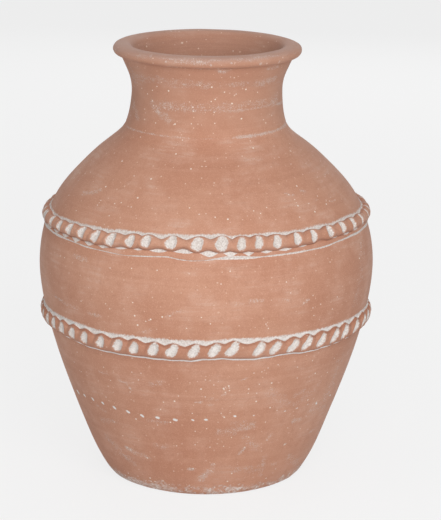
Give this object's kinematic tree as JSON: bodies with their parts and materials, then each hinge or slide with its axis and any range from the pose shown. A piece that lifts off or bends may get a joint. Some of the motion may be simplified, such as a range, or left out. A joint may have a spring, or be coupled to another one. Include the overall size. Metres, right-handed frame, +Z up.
{
  "type": "greek pithos",
  "caption": "Hand-built terracotta storage jar with a wide belly, a short flared neck, a rolled lip and pressed rope bands.",
  "frame": {"origin": "centre of the underside of the base, on the surface that the jar stands on", "axes": "+Z up along the axis of the jar, towards the mouth; -Y towards the side that the picture shows, +X to its right"},
  "size_m": [0.3444, 0.3444, 0.45],
  "materials": {
    "clay": "unglazed matt terracotta with pale grog specks and a thin chalky bloom",
    "limed_clay": "unglazed matt terracotta with white lime wash left in its dents and creases"
  },
  "bodies": {
    "root": {"base": "clay", "lower_wall": "clay", "belly": "clay", "shoulder": "clay", "neck": "clay", "rim": "clay", "upper_rope_band": "limed_clay", "lower_rope_band": "limed_clay"}
  },
  "joints": []
}
